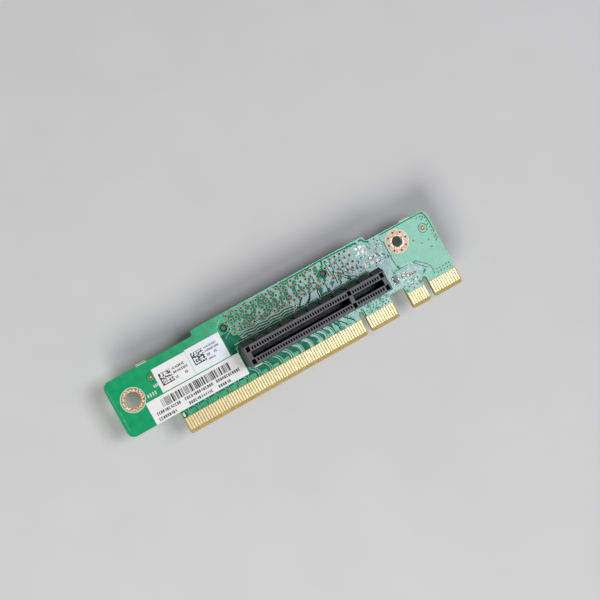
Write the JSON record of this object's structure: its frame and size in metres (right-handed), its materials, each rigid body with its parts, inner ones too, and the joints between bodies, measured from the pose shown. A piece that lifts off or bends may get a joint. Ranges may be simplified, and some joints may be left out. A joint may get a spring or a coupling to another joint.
{
  "type": "riser card",
  "caption": "Flat circuit board with a keyed gold card edge below, a multi-lane card slot on each face, two mounting holes, labels and a few small chips.",
  "frame": {"origin": "on the centre line of the x16 edge's key notch, level with the foot of the gold edge, on the board's front face", "axes": "+X along the card, from the x16 edge's long side to its short side; +Y from the gold edge to the top edge; +Z out of the front face, the one with the labels"},
  "size_m": [0.13, 0.0315, 0.0241],
  "materials": {
    "board": "glossy green solder mask over glass-epoxy laminate, bare tan laminate on the bevels",
    "copper_ring": "bare mottled copper",
    "gold": "bright hard gold plate",
    "pin_sleeve": "dull plated copper",
    "solder": "dark dull solder",
    "housing": "dark brown-black moulded plastic, fine grain",
    "contact": "gold-plated spring metal",
    "fiducial": "bare plated copper",
    "label_left": null,
    "label_right": null,
    "barcode_label": null,
    "transistor": "dark grey moulded package",
    "lead": "tinned metal",
    "capacitor": "brown ceramic",
    "resistor": "black coated ceramic",
    "tin_pad": "tinned copper"
  },
  "bodies": {
    "root": {"circuit_board": "board", "mounting_plating_left": "copper_ring", "mounting_plating_right": "copper_ring", "gold_fingers_x16_front": "gold", "gold_fingers_x16_back": "gold", "gold_fingers_x1_front": "gold", "gold_fingers_x1_back": "gold", "front_slot_pin_sleeves": "pin_sleeve", "rear_slot_pin_sleeves": "pin_sleeve", "front_slot_solder": "solder", "rear_slot_solder": "solder", "front_slot_base": "housing", "front_slot_ledge_wall": "housing", "front_slot_plain_wall": "housing", "front_slot_key_and_ends": "housing", "rear_slot_base": "housing", "rear_slot_ledge_wall": "housing", "rear_slot_plain_wall": "housing", "rear_slot_key_and_ends": "housing", "front_slot_inner_contacts": "contact", "front_slot_outer_contacts": "contact", "rear_slot_inner_contacts": "contact", "rear_slot_outer_contacts": "contact", "fiducials": "fiducial", "part_label_left": "label_left", "part_label_right": "label_right", "barcode_label": "barcode_label", "transistor_body": "transistor", "transistor_leads": "lead", "capacitor_bodies": "capacitor", "capacitor_terminals": "tin_pad", "resistor_bodies": "resistor", "resistor_terminals": "tin_pad", "soldered_pads": "tin_pad", "bare_pads": "tin_pad", "test_pads": "tin_pad"}
  },
  "joints": []
}
